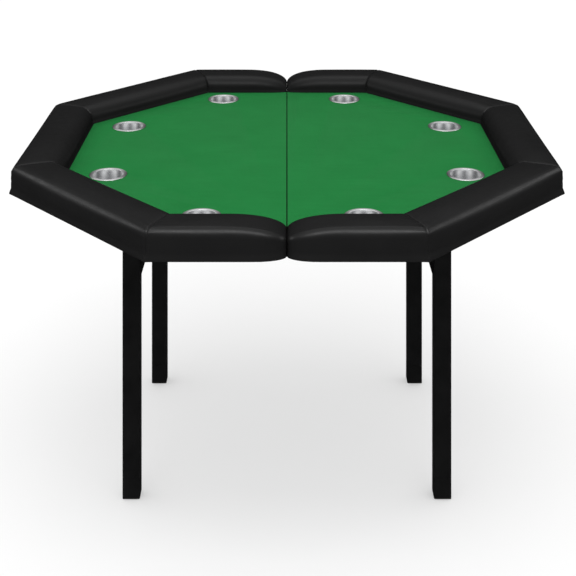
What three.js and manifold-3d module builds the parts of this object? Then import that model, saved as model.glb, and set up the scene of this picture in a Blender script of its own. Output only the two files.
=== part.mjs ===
// Octagonal folding card table for eight players.
// Two half tables meet on the line X = 0 and fold down about hinges under it, so
// that their undersides face each other. Four legs fold up under the halves.
// Millimetres, +Z up, origin on the floor under the centre of the table.

import * as THREE from "three";
import { mergeVertices } from "three/addons/utils/BufferGeometryUtils.js";
import Module from "manifold-3d";

const wasm = await Module();
wasm.setup();

// ---- driving dimensions -------------------------------------------------------

const GAP = 0.3; // clearance between pieces that rest on each other
const PAST = 2; // how far a cutting solid passes through the piece it cuts
const RIGHT = 1;
const LEFT = -1;
const NEAR = -1;
const FAR = 1;

const HALF_WIDTH = 610; // centre to the flat outer face of the rail
const END_SIDE = 270.5; // half length of the near and far sides
const LONG_SIDE = 247; // half length of the left and right sides
const FOLD_GAP = 0.9; // each half stops this far from X = 0

const UNDERSIDE = 661.5; // underside of the board and of the rail
const BOARD_THICKNESS = 17.3;
const BOARD_EDGE = 600; // centre to the edge of the board
const FELT_THICKNESS = 1.5;
const FELT_EDGE = 499.5;
const FELT_TAB = { edge: 509, length: 31, slope: 3 };
const BOARD_TOP = UNDERSIDE + BOARD_THICKNESS;
const FELT_TOP = BOARD_TOP + GAP + FELT_THICKNESS;

const RAIL_TOP = 724.5;
const RAIL_WIDTH = 114;
const RAIL_INNER = HALF_WIDTH - RAIL_WIDTH;
const RAIL_OUTER_ROUND = 20;
const RAIL_INNER_ROUND = 36;
const RAIL_FOOT = 44; // how far the rail's flat underside reaches over the board
const RAIL_END_SQUEEZE = { outer: 24, inner: 10, length: 70 };
const RAIL_END_DROP = { height: 34, length: 110 };
const RAIL_END_STEPS = [0, 6, 18, 38, 70, 110]; // distances from the fold
const RIM_TOP = BOARD_TOP + 14;
const RIM_INNER = 501;
const RIM_STOP = 40; // the wooden rim ends this far from the fold

const CUP_PLACES = [
  { name: "end", x: { [RIGHT]: 158, [LEFT]: 175 }, y: 431 },
  { name: "side", x: { [RIGHT]: 402, [LEFT]: 402 }, y: 180 },
];
const CUP_RIM_RADIUS = 42.5;
const CUP_RADIUS = 35;
const CUP_WALL = 1.2;
const CUP_BOTTOM = UNDERSIDE - 25.8;
const CUP_CORNER = 3;
const CUP_LIP = 1.6; // height of the rim above the felt
const CUP_HOLE_RADIUS = 36;
const CUP_SEGMENTS = 22;

const FOLD_AXIS_HEIGHT = UNDERSIDE - 74;
const BATTEN = { from: 7, to: 33, halfLength: 400 };
const LIP_BOTTOM = FOLD_AXIS_HEIGHT + 17;
const JOINT_STRIP = { past: 4, thickness: 4.2, halfLength: 575 }; // closes the joint from below
const LEAF = { gap: 0.3, thickness: 2, reach: 30, notch: 5.2 };
const BARREL_RADIUS = 4.5;
const BARREL_BORE = 2.3;
const HINGE_PIN = { radius: 2, head: 3.2, headLength: 1.7 };
const HINGE_KNUCKLE = 25.4;
const HINGE_PLACES = [
  { name: "near", y: -330 },
  { name: "middle", y: 0 },
  { name: "far", y: 330 },
];

const LEG_PLACES = [
  { end: NEAR, name: "near", x: 339.5, y: -248 },
  { end: FAR, name: "far", x: 330.5, y: 243 },
];
const LEG = { size: 38, wall: 1.8, corner: 3, innerCorner: 1.5, cap: 8, topDrop: 2 };
const LEG_AXIS_DROP = 50; // pivot below the underside
const LEG_PIVOT_HEIGHT = UNDERSIDE - LEG_AXIS_DROP;
const LEG_SPLAY = THREE.MathUtils.degToRad(11); // turn of the pivot line in plan
const FOOT = { glide: 3, glideRadius: 9, glideTaper: 1, sleeve: 45, plug: 22, floor: 10 };
const AXLE = { radius: 15, bore: 4.3, outer: 22.7, inner: 56.7 };
const BORE_REACH = 90; // half length of the solid that cuts a pivot bore
const GUSSET = { thickness: 3, start: 20, reach: 54, foot: 129 };
const BRACKET = {
  outer: 23, inner: 57, plate: 3, halfDepth: 18, flange: 33, web: 23, webDrop: 16, join: 10,
};
const PIVOT_PIN = { radius: 4, head: 5.5, headLength: 2.5 };
const LOCK = {
  stem: 2.5, bore: 2.9, tip: 0.2, head: 6.5, headLength: 9, standOff: 4.5, offset: 7.4,
};

const FOOT_TOP = FOOT.glide + GAP + FOOT.sleeve;

// ---- finishes -----------------------------------------------------------------

function finish(color, roughness, metalness) {
  return () => new THREE.MeshStandardMaterial({ color, roughness, metalness });
}

const greenFelt = finish(0x287d40, 0.95, 0);
const blackVinyl = finish(0x1e1e20, 0.42, 0);
const plywood = finish(0xb58b5a, 0.7, 0);
const polishedSteel = finish(0xc9ccd0, 0.15, 1);
const blackSteel = finish(0x1b1b1d, 0.45, 0.3);
const zincSteel = finish(0x9da1a6, 0.35, 1);
const blackPlastic = finish(0x141416, 0.6, 0);

// ---- solid helpers ------------------------------------------------------------

// A closed geometry as a manifold solid, in the coordinates of its own mesh.
function solidOf(geometry) {
  const bare = geometry.clone();
  bare.deleteAttribute("normal");
  bare.deleteAttribute("uv");
  const merged = mergeVertices(bare);
  return new wasm.Manifold(new wasm.Mesh({
    numProp: 3,
    vertProperties: new Float32Array(merged.attributes.position.array),
    triVerts: new Uint32Array(merged.index.array),
  }));
}

function geometryOf(solid) {
  const { vertProperties, triVerts } = solid.getMesh();
  const geometry = new THREE.BufferGeometry();
  geometry.setAttribute("position", new THREE.BufferAttribute(vertProperties, 3));
  geometry.setIndex(new THREE.BufferAttribute(triVerts, 1));
  geometry.computeVertexNormals();
  return geometry;
}

function joined(...geometries) {
  return geometryOf(geometries.map(solidOf).reduce((whole, part) => whole.add(part)));
}

function cut(geometry, ...tools) {
  return geometryOf(tools.map(solidOf).reduce((whole, tool) => whole.subtract(tool), solidOf(geometry)));
}

function namedMesh(name, geometry, material) {
  const mesh = new THREE.Mesh(geometry, material());
  mesh.name = name;
  return mesh;
}

// A box between two corners, whichever way round the corners are given.
function boxBetween(a, b) {
  const size = a.map((value, axis) => Math.abs(b[axis] - value));
  const middle = a.map((value, axis) => (value + b[axis]) / 2);
  return new THREE.BoxGeometry(...size).translate(...middle);
}

// A cylinder along X between two places.
function rodAlongX(radius, from, to, segments) {
  const length = Math.abs(to - from);
  return new THREE.CylinderGeometry(radius, radius, length, segments)
    .rotateZ(Math.PI / 2)
    .translate((from + to) / 2, 0, 0);
}

// A cylinder along Y between two places.
function rodAlongY(radius, from, to, segments) {
  return new THREE.CylinderGeometry(radius, radius, to - from, segments)
    .translate(0, (from + to) / 2, 0);
}

function roundedSquare(size, corner) {
  const half = size / 2;
  const shape = new THREE.Shape();
  shape.moveTo(half - corner, -half);
  shape.absarc(half - corner, -half + corner, corner, -Math.PI / 2, 0);
  shape.absarc(half - corner, half - corner, corner, 0, Math.PI / 2);
  shape.absarc(-half + corner, half - corner, corner, Math.PI / 2, Math.PI);
  shape.absarc(-half + corner, -half + corner, corner, Math.PI, 1.5 * Math.PI);
  return shape;
}

function upright(shape, bottom, top, curveSegments = 1) {
  const options = { depth: top - bottom, bevelEnabled: false, curveSegments };
  return new THREE.ExtrudeGeometry(shape, options).translate(0, 0, bottom);
}

// ---- the half-octagon path ----------------------------------------------------

// How far a round end has closed in, from 1 at the end to 0 at the given length.
function closing(fromEnd, length) {
  const remaining = Math.max(0, 1 - fromEnd / length);
  return 1 - Math.sqrt(1 - remaining * remaining);
}

function edgeInset(fromEnd) {
  return RAIL_END_SQUEEZE.outer * closing(Math.max(fromEnd, 0), RAIL_END_SQUEEZE.length);
}

const DIAGONAL = Math.atan2(HALF_WIDTH - LONG_SIDE, HALF_WIDTH - END_SIDE);

// Half length of the near and far sides, and of the left and right sides, along the
// mitre lines at a distance r from the centre.
function endCorner(r) {
  return END_SIDE - (HALF_WIDTH - r) * Math.tan(DIAGONAL / 2);
}

function sideCorner(r) {
  return LONG_SIDE - (HALF_WIDTH - r) * Math.tan((Math.PI / 2 - DIAGONAL) / 2);
}

// Places along one half, near end to far end. Each gives the point at a distance
// r from the centre, and how far it lies from the fold.
function pathStations(side, endSteps) {
  const ends = endSteps.map((fromEnd) => ({
    fromEnd,
    at: (r, y) => [side * (FOLD_GAP + fromEnd), y * r],
  }));
  const near = ends.map(({ fromEnd, at }) => ({ fromEnd, at: (r) => at(r, NEAR) }));
  const far = ends.map(({ fromEnd, at }) => ({ fromEnd, at: (r) => at(r, FAR) })).reverse();
  const corners = [
    (r) => [side * endCorner(r), -r],
    (r) => [side * r, -sideCorner(r)],
    (r) => [side * r, sideCorner(r)],
    (r) => [side * endCorner(r), r],
  ].map((at) => ({ fromEnd: Infinity, at }));
  return [...near, ...corners, ...far];
}

// A closed ring of (r, z) points carried along the half octagon, with flat ends.
function carried(side, endSteps, ringAt) {
  const stations = pathStations(side, endSteps);
  const rings = stations.map((station) => ringAt(station.fromEnd)
    .map(([r, z]) => [...station.at(r), z]));
  const count = rings[0].length;
  const positions = rings.flat(2);
  const faces = [];
  for (let s = 0; s < rings.length - 1; s += 1) {
    for (let i = 0; i < count; i += 1) {
      const j = (i + 1) % count;
      const [a, b] = [s * count + i, s * count + j];
      faces.push([a, b, b + count], [a, b + count, a + count]);
    }
  }
  const last = (rings.length - 1) * count;
  const flat = (fromEnd) => ringAt(fromEnd).map(([r, z]) => new THREE.Vector2(r, z));
  const cap = THREE.ShapeUtils.triangulateShape(flat(stations[0].fromEnd), []);
  for (const [a, b, c] of cap) {
    faces.push([a, c, b], [last + a, last + b, last + c]);
  }
  const geometry = new THREE.BufferGeometry();
  geometry.setAttribute("position", new THREE.Float32BufferAttribute(positions, 3));
  geometry.setIndex(faces.flatMap(([a, b, c]) => (side === RIGHT ? [a, c, b] : [a, b, c])));
  return geometry;
}

function band(side, endSteps, from, to, bottom, top) {
  return carried(side, endSteps, (fromEnd) => {
    const edge = to - edgeInset(fromEnd);
    return [[from, bottom], [edge, bottom], [edge, top], [from, top]];
  });
}

// ---- table top ----------------------------------------------------------------

function withCupHoles(outline, side, bottom, top) {
  const shape = new THREE.Shape(outline.map(([x, y]) => new THREE.Vector2(x, y)));
  for (const { x, y } of CUP_PLACES) {
    for (const end of [NEAR, FAR]) {
      const hole = new THREE.Path();
      hole.absarc(side * x[side], end * y, CUP_HOLE_RADIUS, 0, 2 * Math.PI);
      shape.holes.push(hole);
    }
  }
  return upright(shape, bottom, top, CUP_SEGMENTS / 2);
}

function board(side) {
  const outline = pathStations(side, RAIL_END_STEPS)
    .map(({ fromEnd, at }) => at(BOARD_EDGE - edgeInset(fromEnd)));
  return withCupHoles(outline, side, UNDERSIDE, BOARD_TOP);
}

// The felt reaches further out under the rail's round ends than along its sides.
function felt(side) {
  const outline = pathStations(side, [0, FELT_TAB.length, FELT_TAB.length + FELT_TAB.slope])
    .map(({ fromEnd, at }) => at(fromEnd <= FELT_TAB.length ? FELT_TAB.edge : FELT_EDGE));
  return withCupHoles(outline, side, BOARD_TOP + GAP, FELT_TOP);
}

function railRim(side) {
  const steps = [RIM_STOP, RAIL_END_SQUEEZE.length];
  return band(side, steps, RIM_INNER, BOARD_EDGE, BOARD_TOP + GAP, RIM_TOP);
}

function quarter(middleR, middleZ, radius, from, to, steps) {
  return Array.from({ length: steps + 1 }, (_, i) => {
    const angle = from + ((to - from) * i) / steps;
    return [middleR + radius * Math.cos(angle), middleZ + radius * Math.sin(angle)];
  });
}

// Outline of the padded rail at a distance from the fold, without its hollow.
function railRing(fromEnd) {
  const floor = FELT_TOP + GAP;
  const outer = RAIL_OUTER_ROUND;
  const inner = RAIL_INNER_ROUND;
  const ring = [
    [HALF_WIDTH, UNDERSIDE],
    [HALF_WIDTH, floor],
    ...quarter(HALF_WIDTH - outer, RAIL_TOP - outer, outer, 0, Math.PI / 2, 4),
    ...quarter(RAIL_INNER + inner, RAIL_TOP - inner, inner, Math.PI / 2, Math.PI, 5),
    [RAIL_INNER, floor],
    [RAIL_INNER + RAIL_FOOT, floor],
    [RAIL_INNER + RAIL_FOOT, UNDERSIDE],
  ];
  const squeeze = closing(fromEnd, RAIL_END_SQUEEZE.length);
  const drop = RAIL_END_DROP.height * closing(fromEnd, RAIL_END_DROP.length);
  const keep = 1 - drop / (RAIL_TOP - floor);
  const inside = RAIL_END_SQUEEZE.inner * squeeze;
  const outside = RAIL_END_SQUEEZE.outer * squeeze;
  return ring.map(([r, z]) => {
    const share = (r - RAIL_INNER) / RAIL_WIDTH;
    const height = z > floor ? floor + (z - floor) * keep : z;
    return [r + inside * (1 - share) - outside * share, height];
  });
}

function railPadding(side) {
  const whole = carried(side, RAIL_END_STEPS, railRing);
  const edge = BOARD_EDGE + GAP;
  const boardSteps = [-PAST, ...RAIL_END_STEPS];
  const boardFrom = RAIL_INNER - RAIL_FOOT;
  const overBoard = band(side, boardSteps, boardFrom, edge, UNDERSIDE - PAST, BOARD_TOP + GAP);
  const rimSteps = [RIM_STOP - GAP, RAIL_END_SQUEEZE.length];
  const overRim = band(side, rimSteps, RIM_INNER - GAP, edge, BOARD_TOP, RIM_TOP + GAP);
  return cut(whole, overBoard, overRim);
}

function cupHolder() {
  const seat = FELT_TOP + GAP;
  const rimTop = seat + CUP_LIP;
  const inner = CUP_RADIUS - CUP_WALL;
  const wellFloor = CUP_BOTTOM + CUP_WALL;
  const profile = [
    [0, CUP_BOTTOM],
    [CUP_RADIUS - CUP_CORNER, CUP_BOTTOM],
    [CUP_RADIUS, CUP_BOTTOM + CUP_CORNER],
    [CUP_RADIUS, seat],
    [CUP_RIM_RADIUS, seat],
    [CUP_RIM_RADIUS - 1, rimTop],
    [inner + 1, rimTop],
    [inner, seat],
    [inner, wellFloor + CUP_CORNER],
    [inner - CUP_CORNER, wellFloor],
    [0, wellFloor],
  ].map(([r, z]) => new THREE.Vector2(r, z));
  return new THREE.LatheGeometry(profile, CUP_SEGMENTS).rotateX(Math.PI / 2);
}

// ---- fold hinges --------------------------------------------------------------

// The right batten also has a lip and a long thin strip that pass under the joint
// between the halves.
function batten(side) {
  const { from, to, halfLength } = BATTEN;
  const bottom = FOLD_AXIS_HEIGHT + LEAF.gap + LEAF.thickness + GAP;
  const top = UNDERSIDE - GAP;
  const bar = boxBetween([side * from, -halfLength, bottom], [side * to, halfLength, top]);
  if (side === LEFT) {
    return bar;
  }
  const { past, thickness, halfLength: stripHalf } = JOINT_STRIP;
  const lip = boxBetween([-past, -halfLength, LIP_BOTTOM], [to, halfLength, top]);
  const strip = boxBetween([-past, -stripHalf, top - thickness], [to, stripHalf, top]);
  return joined(bar, lip, strip);
}

// Y ranges of the three knuckles of one hinge.
function knuckleRanges() {
  const half = HINGE_KNUCKLE / 2;
  const end = 3 * half;
  return { middle: [-half, half], outer: [[-end, -half - GAP], [half + GAP, end]] };
}

// One leaf, with its knuckles centred on the hinge line, which is Y here.
function hingeLeaf(side) {
  const { middle, outer } = knuckleRanges();
  const own = side === RIGHT ? outer : [middle];
  const other = side === RIGHT ? [middle] : outer;
  const end = outer[1][1];
  const top = LEAF.gap + LEAF.thickness;
  const web = boxBetween([0, -end, LEAF.gap], [side * LEAF.reach, end, top]);
  const reach = 2 * BARREL_RADIUS;
  const clear = other.map(([from, to]) => boxBetween(
    [-side * reach, from - GAP, -reach],
    [side * LEAF.notch, to + GAP, reach],
  ));
  const barrels = own.map(([from, to]) => rodAlongY(BARREL_RADIUS, from, to, 14));
  const bore = rodAlongY(BARREL_BORE, -end - PAST, end + PAST, 12);
  return cut(joined(web, ...barrels), ...clear, bore);
}

function hingePin() {
  const { radius, head, headLength } = HINGE_PIN;
  const end = 1.5 * HINGE_KNUCKLE + GAP;
  return joined(
    rodAlongY(radius, -end - headLength, end + headLength, 12),
    rodAlongY(head, -end - headLength, -end, 12),
    rodAlongY(head, end, end + headLength, 12),
  );
}

// ---- legs ---------------------------------------------------------------------

// Every leg is drawn about its own pivot. The tube is square to the table, and the
// axle, bracket and gusset follow the pivot line. inner is the way to the fold.

function onPivotLine(geometry) {
  return geometry.rotateZ(LEG_SPLAY);
}

function legTube(inner) {
  const bottom = FOOT_TOP + GAP - LEG_PIVOT_HEIGHT;
  const hollowSize = LEG.size - 2 * LEG.wall;
  const hollowTop = -AXLE.radius - LEG.cap;
  const tube = upright(roundedSquare(LEG.size, LEG.corner), bottom, -LEG.topDrop);
  const hollow = upright(roundedSquare(hollowSize, LEG.innerCorner), bottom - PAST, hollowTop);
  const axle = onPivotLine(rodAlongX(AXLE.radius, -inner * AXLE.outer, inner * AXLE.inner, 18));
  const bore = onPivotLine(rodAlongX(AXLE.bore, -BORE_REACH, BORE_REACH, 12));
  return cut(joined(tube, axle), hollow, bore);
}

function legGusset(inner) {
  const shape = new THREE.Shape();
  const top = -AXLE.radius - GAP;
  shape.moveTo(inner * GUSSET.start, -GUSSET.foot);
  shape.lineTo(inner * GUSSET.reach, top);
  shape.lineTo(inner * GUSSET.start, top);
  const options = { depth: GUSSET.thickness, bevelEnabled: false };
  const flat = new THREE.ExtrudeGeometry(shape, options).translate(0, 0, -GUSSET.thickness / 2);
  return onPivotLine(flat.rotateX(Math.PI / 2));
}

function footSleeve() {
  const bottom = FOOT.glide + GAP;
  const sleeve = upright(roundedSquare(LEG.size, LEG.corner), bottom, FOOT_TOP);
  const plugSize = LEG.size - 2 * LEG.wall - 2 * GAP;
  const plug = upright(
    roundedSquare(plugSize, LEG.innerCorner),
    bottom + FOOT.floor,
    FOOT_TOP + FOOT.plug,
  );
  return joined(sleeve, plug).translate(0, 0, -LEG_PIVOT_HEIGHT);
}

function footGlide() {
  const { glide, glideRadius, glideTaper } = FOOT;
  return new THREE.CylinderGeometry(glideRadius, glideRadius - glideTaper, glide, 20)
    .rotateX(Math.PI / 2)
    .translate(0, 0, glide / 2 - LEG_PIVOT_HEIGHT);
}

// One side plate of a bracket, round below the pivot.
function bracketCheek(from, to) {
  const shape = new THREE.Shape();
  const { halfDepth } = BRACKET;
  shape.moveTo(-halfDepth, LEG_AXIS_DROP - GAP);
  shape.lineTo(-halfDepth, 0);
  shape.absarc(0, 0, halfDepth, Math.PI, 2 * Math.PI);
  shape.lineTo(halfDepth, LEG_AXIS_DROP - GAP);
  const options = { depth: Math.abs(to - from), bevelEnabled: false, curveSegments: 6 };
  return new THREE.ExtrudeGeometry(shape, options)
    .rotateX(Math.PI / 2)
    .rotateZ(Math.PI / 2)
    .translate(Math.min(from, to), 0, 0);
}

// Base plate, two cheeks and the web that the leg stops against.
function legBracket(inner, end) {
  const { outer, plate, flange, web, webDrop, join } = BRACKET;
  const outside = -inner * (outer + plate);
  const inside = inner * (BRACKET.inner + plate);
  const top = LEG_AXIS_DROP - GAP;
  const webBack = end * (web + plate);
  const body = joined(
    boxBetween([outside, -flange, top - plate], [inside, flange, top]),
    boxBetween([outside, end * web, -webDrop], [inside, webBack, top]),
    boxBetween([outside, end * join, 0], [-inner * outer, webBack, top]),
    boxBetween([inner * BRACKET.inner, end * join, 0], [inside, webBack, top]),
    bracketCheek(outside, -inner * outer),
    bracketCheek(inner * BRACKET.inner, inside),
  );
  const bore = rodAlongX(AXLE.bore, -BORE_REACH, BORE_REACH, 12);
  const lockBore = rodAlongX(LOCK.bore, outside - inner * PAST, -inner * (outer - PAST), 12)
    .translate(0, end * LOCK.offset, LOCK.offset);
  return onPivotLine(cut(body, bore, lockBore));
}

function pivotPin(inner) {
  const outside = -inner * (BRACKET.outer + BRACKET.plate + GAP);
  const inside = inner * (BRACKET.inner + BRACKET.plate + GAP);
  const { radius, head, headLength } = PIVOT_PIN;
  const shaft = rodAlongX(radius, outside, inside, 12);
  const heads = [
    rodAlongX(head, outside, outside - inner * headLength, 12),
    rodAlongX(head, inside, inside + inner * headLength, 12),
  ];
  return onPivotLine(joined(shaft, ...heads));
}

// Spring plunger in the outer cheek, pulled outwards to free the leg.
function lockKnob(inner, end) {
  const tip = -inner * (BRACKET.outer + LOCK.tip);
  const neck = -inner * (BRACKET.outer + BRACKET.plate + LOCK.standOff);
  const stem = rodAlongX(LOCK.stem, tip, neck, 10);
  const head = rodAlongX(LOCK.head, neck, neck - inner * LOCK.headLength, 14);
  return onPivotLine(joined(stem, head).translate(0, end * LOCK.offset, LOCK.offset));
}

function leg(name, side, { end, x, y }) {
  const inner = -side;
  const group = new THREE.Group();
  group.position.set(side * x, y, LEG_PIVOT_HEIGHT);
  group.add(
    namedMesh(`${name}_leg_tube`, legTube(inner), blackSteel),
    namedMesh(`${name}_leg_gusset`, legGusset(inner), blackSteel),
    namedMesh(`${name}_foot_sleeve`, footSleeve(), blackPlastic),
    namedMesh(`${name}_foot_glide`, footGlide(), blackPlastic),
    namedMesh(`${name}_leg_bracket`, legBracket(inner, end), blackSteel),
    namedMesh(`${name}_pivot_pin`, pivotPin(inner), zincSteel),
    namedMesh(`${name}_lock_knob`, lockKnob(inner, end), blackPlastic),
  );
  return group;
}

// ---- assembly -----------------------------------------------------------------

function halfTop(name, side) {
  const group = new THREE.Group();
  group.add(
    namedMesh(`${name}_board`, board(side), plywood),
    namedMesh(`${name}_felt`, felt(side), greenFelt),
    namedMesh(`${name}_rail_rim`, railRim(side), plywood),
    namedMesh(`${name}_rail_padding`, railPadding(side), blackVinyl),
    namedMesh(`${name}_fold_batten`, batten(side), plywood),
  );
  for (const { name: place, x, y } of CUP_PLACES) {
    for (const [endName, end] of [["near", NEAR], ["far", FAR]]) {
      const cup = namedMesh(`${name}_${place}_cup_${endName}`, cupHolder(), polishedSteel);
      cup.position.set(side * x[side], end * y, 0);
      group.add(cup);
    }
  }
  return group;
}

function foldHinge({ name, y }) {
  const group = new THREE.Group();
  group.position.set(0, y, FOLD_AXIS_HEIGHT);
  group.add(
    namedMesh(`${name}_hinge_leaf_right`, hingeLeaf(RIGHT), zincSteel),
    namedMesh(`${name}_hinge_leaf_left`, hingeLeaf(LEFT), zincSteel),
    namedMesh(`${name}_hinge_pin`, hingePin(), zincSteel),
  );
  return group;
}

const table = new THREE.Group();
table.add(halfTop("right", RIGHT), halfTop("left", LEFT));
for (const place of HINGE_PLACES) {
  table.add(foldHinge(place));
}
for (const [sideName, side] of [["right", RIGHT], ["left", LEFT]]) {
  for (const place of LEG_PLACES) {
    table.add(leg(`${sideName}_${place.name}`, side, place));
  }
}

export default table;
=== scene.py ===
"""Octagonal folding card table: the looks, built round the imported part.

Lengths are in millimetres until a mesh is made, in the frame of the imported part.
"""

import math
import random

import bpy
import numpy as np
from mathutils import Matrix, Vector, geometry


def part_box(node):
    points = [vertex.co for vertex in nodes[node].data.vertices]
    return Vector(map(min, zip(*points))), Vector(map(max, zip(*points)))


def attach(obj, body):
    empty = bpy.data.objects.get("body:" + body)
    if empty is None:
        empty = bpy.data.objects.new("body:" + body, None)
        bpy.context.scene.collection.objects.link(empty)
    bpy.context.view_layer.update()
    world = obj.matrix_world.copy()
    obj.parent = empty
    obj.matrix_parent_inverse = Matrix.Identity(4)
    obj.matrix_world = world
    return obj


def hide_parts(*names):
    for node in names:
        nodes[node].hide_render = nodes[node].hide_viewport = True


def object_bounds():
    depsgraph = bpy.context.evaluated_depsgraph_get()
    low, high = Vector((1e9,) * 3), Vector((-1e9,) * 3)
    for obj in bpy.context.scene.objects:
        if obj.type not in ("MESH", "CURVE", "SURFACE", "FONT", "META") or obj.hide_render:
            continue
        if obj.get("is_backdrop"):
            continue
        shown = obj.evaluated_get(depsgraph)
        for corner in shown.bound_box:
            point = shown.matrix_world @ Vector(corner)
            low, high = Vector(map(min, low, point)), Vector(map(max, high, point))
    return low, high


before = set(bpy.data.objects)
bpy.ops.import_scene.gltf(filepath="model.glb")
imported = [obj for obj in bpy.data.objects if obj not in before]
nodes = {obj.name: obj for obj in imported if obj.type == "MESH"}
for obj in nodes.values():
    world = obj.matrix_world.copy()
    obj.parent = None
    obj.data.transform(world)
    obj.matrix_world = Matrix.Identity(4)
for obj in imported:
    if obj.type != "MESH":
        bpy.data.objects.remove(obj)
cad_low, cad_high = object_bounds()

MM = 0.001
SIDES = {"right": 1, "left": -1}
ENDS = {"near": -1, "far": 1}
HINGE_PLACES = ("near", "middle", "far")

# ---- dimensions shared with the part --------------------------------------------

COVER_FOLD = 0.04  # each padded cover stops this far from X = 0
CLOTH_FOLD = 1.15  # and each cloth this far
END_SIDE = 270.5  # half length of the near and far sides
LONG_SIDE = 247.0  # half length of the left and right sides
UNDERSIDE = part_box("right_board")[0].z / MM
FOLD_AXIS = UNDERSIDE - 74.0  # height of the fold hinges
LEG_PIVOT = UNDERSIDE - 50.0  # height of the leg pivots
LEG_SPLAY = math.radians(11)  # of the pivot lines, off square
FELT_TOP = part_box("right_felt")[1].z / MM
RAIL_OUTER = cad_high.x / MM
RAIL_TOP = cad_high.z / MM
RAIL_INNER = 496.0
RAIL_FLOOR = FELT_TOP + 0.3
OUTER_ROUND = 20.0
INNER_ROUND = 36.0
# At the fold the rail closes in; each pair is how far, and over which length.
END_OUTER = (27.0, 60.0)  # its outer face
END_INNER = (10.0, 60.0)  # its inner face
END_DROP = (34.0, 110.0)  # its top
BOARD_EDGE = 600.0
BOARD_INSET = (24.0, 70.0)  # the board's edge under it
RIM_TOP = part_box("right_rail_rim")[1].z / MM
RIM_START = 34.0  # the hollow for the wooden rim opens between these distances
RIM_FULL = 39.0
DIAGONAL = math.atan2(RAIL_OUTER - LONG_SIDE, RAIL_OUTER - END_SIDE)
END_SLOPE = math.tan(DIAGONAL / 2)
SIDE_SLOPE = math.tan((math.pi / 2 - DIAGONAL) / 2)
FAR_OFF = 1e3  # stands for a seam or a fold that is out of reach


# ---- node helpers -----------------------------------------------------------------


def add(tree, kind, inputs=None, **settings):
    """A node with its settings and inputs; an input is a value or another node's output."""
    made = tree.nodes.new(kind)
    for key, value in settings.items():
        setattr(made, key, value)
    for key, value in (inputs or {}).items():
        if isinstance(value, bpy.types.NodeSocket):
            tree.links.new(value, made.inputs[key])
        else:
            made.inputs[key].default_value = value
    return made


def new_material(name, **principled):
    material = bpy.data.materials.new(name)
    material.use_nodes = True
    tree = material.node_tree
    tree.nodes.clear()
    shader = add(tree, "ShaderNodeBsdfPrincipled")
    for key, value in principled.items():
        shader.inputs[key.replace("_", " ")].default_value = value
    out = add(tree, "ShaderNodeOutputMaterial")
    tree.links.new(shader.outputs["BSDF"], out.inputs["Surface"])
    return material, tree, shader


def coordinates(tree, scale=(1, 1, 1)):
    """Places on the object, in metres, stretched by a scale."""
    place = add(tree, "ShaderNodeTexCoord").outputs["Object"]
    made = add(tree, "ShaderNodeMapping", {"Vector": place, "Scale": scale})
    return made.outputs["Vector"]


def noise(tree, vector, scale, detail, roughness):
    inputs = {"Vector": vector, "Scale": scale, "Detail": detail, "Roughness": roughness}
    return add(tree, "ShaderNodeTexNoise", inputs).outputs["Fac"]


def waves(tree, vector, direction):
    """Threads of the cloth that follow each other along one direction."""
    inputs = {"Vector": vector, "Scale": 190.0, "Distortion": 0.6, "Detail": 1.0}
    made = add(
        tree, "ShaderNodeTexWave", inputs, wave_type="BANDS", bands_direction=direction
    )
    return made.outputs["Fac"]


def math_node(tree, operation, a, b=0.0):
    return add(tree, "ShaderNodeMath", {0: a, 1: b}, operation=operation).outputs[0]


def xyz(tree, vector):
    """The three parts of a vector."""
    return add(tree, "ShaderNodeSeparateXYZ", {0: vector}).outputs


def grey(tree, shade):
    return add(tree, "ShaderNodeCombineColor", {0: shade, 1: shade, 2: shade}).outputs[0]


def spread(tree, value, low, high, from_low=0.0, from_high=1.0):
    """A value carried from one range to another, and held at its ends."""
    inputs = {
        "Value": value,
        "From Min": from_low,
        "From Max": from_high,
        "To Min": low,
        "To Max": high,
    }
    return add(tree, "ShaderNodeMapRange", inputs).outputs["Result"]


def mix_colour(tree, factor, a, b, blend="MIX"):
    made = add(
        tree, "ShaderNodeMix", {0: factor, 6: a, 7: b}, data_type="RGBA", blend_type=blend
    )
    return made.outputs[2]


def bump(tree, height, strength, distance, under=None):
    inputs = {"Height": height, "Strength": strength, "Distance": distance}
    if under is not None:
        inputs["Normal"] = under
    return add(tree, "ShaderNodeBump", inputs).outputs["Normal"]


def wire(tree, shader, **sockets):
    for key, value in sockets.items():
        tree.links.new(value, shader.inputs[key.replace("_", " ")])


# ---- materials --------------------------------------------------------------------


def felt_material():
    material, tree, shader = new_material(
        "felt_cloth",
        Specular_IOR_Level=0.04,
        Sheen_Weight=0.03,
        Sheen_Roughness=0.5,
        Sheen_Tint=(0.35, 0.75, 0.42, 1),
    )
    flat = coordinates(tree)
    weave = math_node(tree, "MULTIPLY", waves(tree, flat, "X"), waves(tree, flat, "Y"))
    fibres = noise(tree, flat, 1400.0, 4.0, 0.7)
    height = math_node(tree, "ADD", weave, math_node(tree, "MULTIPLY", fibres, 0.9))
    streaks = noise(tree, coordinates(tree, (9, 90, 9)), 1.0, 4.0, 0.6)
    clouds = noise(tree, flat, 14.0, 3.0, 0.55)
    deep = (0.0072, 0.125, 0.0266, 1)
    light = (0.0090, 0.141, 0.0312, 1)
    tone = math_node(
        tree,
        "ADD",
        math_node(tree, "MULTIPLY", streaks, 0.5),
        math_node(tree, "MULTIPLY", clouds, 0.5),
    )
    cloth = mix_colour(tree, spread(tree, tone, 0.0, 1.0, 0.33, 0.67), deep, light)
    speck = spread(tree, fibres, 0.78, 1.22, 0.3, 0.7)
    thread = spread(tree, weave, 0.86, 1.1)
    shade = math_node(tree, "MULTIPLY", speck, thread)
    wire(
        tree,
        shader,
        Base_Color=mix_colour(tree, 1.0, cloth, grey(tree, shade), "MULTIPLY"),
        Normal=bump(tree, height, 0.35, 0.0004),
        Roughness=spread(tree, fibres, 0.86, 0.98),
    )
    return material


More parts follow.
